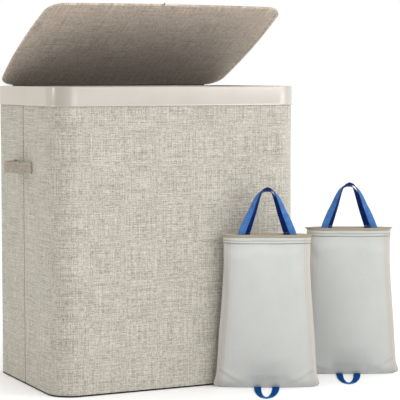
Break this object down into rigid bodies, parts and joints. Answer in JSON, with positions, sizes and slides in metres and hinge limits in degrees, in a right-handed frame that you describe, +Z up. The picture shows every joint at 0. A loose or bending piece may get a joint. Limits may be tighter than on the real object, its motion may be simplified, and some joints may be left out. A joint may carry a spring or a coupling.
{
  "type": "laundry hamper",
  "caption": "Tall fabric-covered laundry hamper with a divided inside, moulded rim, hinged lid, side handles, and removable liner bags with webbing handles standing beside it.",
  "frame": {"origin": "centre of the hamper's base, on the floor; the liner bags stand beside it", "axes": "+Z up, +X to the right along the hamper's front, the front faces -Y"},
  "size_m": [0.8237, 0.5615, 0.8013],
  "materials": {
    "linen": "oatmeal slub weave, matt",
    "lid_cloth": "taupe slub weave, matt",
    "lining": "plain dark lining cloth",
    "dark_cloth": "near-black binding tape",
    "rim_plastic": "satin beige moulding",
    "board": "grey-brown fibreboard, taken as such because cloth hides it",
    "hook_tape": "hook-and-loop tape",
    "bag_cloth": "pale grey woven cloth, matt",
    "bag_binding": "taupe binding tape",
    "webbing": "bright blue ribbed webbing"
  },
  "bodies": {
    "hamper": {"base_board": "dark_cloth", "base_binding": "dark_cloth", "floor_panel": "lining", "front_cover": "linen", "back_cover": "linen", "front_board": "board", "back_board": "board", "inner_lining": "lining", "left_seam_piping": "dark_cloth", "right_seam_piping": "dark_cloth", "top_rim": "rim_plastic", "divider_front_channel": "lining", "divider_back_channel": "lining", "divider_panel": "lining", "divider_top_tape": "dark_cloth", "left_front_hook_strip": "hook_tape", "left_back_hook_strip": "hook_tape", "right_front_hook_strip": "hook_tape", "right_back_hook_strip": "hook_tape", "left_handle": "linen", "right_handle": "linen", "hinge_tape_rim": "dark_cloth"},
    "lid": {"lid_cover": "lid_cloth", "lid_board": "board", "lid_lining": "lid_cloth", "hinge_tape_lid": "dark_cloth"},
    "bag_1": {"bag_1_body": "bag_cloth", "bag_1_hem": "bag_cloth", "bag_1_mouth_binding": "bag_binding", "bag_1_front_handle_left_foot": "webbing", "bag_1_front_handle_right_foot": "webbing", "bag_1_back_handle_left_foot": "webbing", "bag_1_back_handle_right_foot": "webbing"},
    "bag_1_front_strap": {"bag_1_front_handle": "webbing"},
    "bag_1_back_strap": {"bag_1_back_handle": "webbing"},
    "bag_1_pull_loop": {"bag_1_bottom_loop": "webbing"},
    "bag_2": {"bag_2_body": "bag_cloth", "bag_2_hem": "bag_cloth", "bag_2_mouth_binding": "bag_binding", "bag_2_front_handle_left_foot": "webbing", "bag_2_front_handle_right_foot": "webbing", "bag_2_back_handle_left_foot": "webbing", "bag_2_back_handle_right_foot": "webbing"},
    "bag_2_front_strap": {"bag_2_front_handle": "webbing"},
    "bag_2_back_strap": {"bag_2_back_handle": "webbing"},
    "bag_2_pull_loop": {"bag_2_bottom_loop": "webbing"}
  },
  "joints": [
    {"name": "lid_hinge", "type": "hinge", "parent": "hamper", "child": "lid", "pos_m": [0, 0.1875, 0.6303], "axis": [-1, 0, 0], "range_deg": [-27.16, 77.84]},
    {"name": "bag_1_lift", "type": "slide", "parent": "hamper", "child": "bag_1", "axis": [0, 0, 1], "range_m": [0, 0.35]},
    {"name": "bag_1_front_handle_fold", "type": "hinge", "parent": "bag_1", "child": "bag_1_front_strap", "pos_m": [0.16161, -0.26111, 0.3236], "axis": [0.8996, -0.4368, 0], "range_deg": [0, 85]},
    {"name": "bag_1_back_handle_fold", "type": "hinge", "parent": "bag_1", "child": "bag_1_back_strap", "pos_m": [0.17284, -0.23798, 0.3236], "axis": [-0.8996, 0.4368, 0], "range_deg": [0, 30]},
    {"name": "bag_1_loop_lift", "type": "hinge", "parent": "bag_1", "child": "bag_1_pull_loop", "pos_m": [0.1611, -0.26216, 0.0016], "axis": [-0.8996, 0.4368, 0], "range_deg": [0, 60]},
    {"name": "bag_2_lift", "type": "slide", "parent": "hamper", "child": "bag_2", "axis": [0, 0, 1], "range_m": [0, 0.35]},
    {"name": "bag_2_front_handle_fold", "type": "hinge", "parent": "bag_2", "child": "bag_2_front_strap", "pos_m": [0.39561, -0.20211, 0.3236], "axis": [0.8996, -0.4368, 0], "range_deg": [0, 85]},
    {"name": "bag_2_back_handle_fold", "type": "hinge", "parent": "bag_2", "child": "bag_2_back_strap", "pos_m": [0.40684, -0.17898, 0.3236], "axis": [-0.8996, 0.4368, 0], "range_deg": [0, 85]},
    {"name": "bag_2_loop_lift", "type": "hinge", "parent": "bag_2", "child": "bag_2_pull_loop", "pos_m": [0.3951, -0.20316, 0.0016], "axis": [-0.8996, 0.4368, 0], "range_deg": [0, 60]}
  ]
}
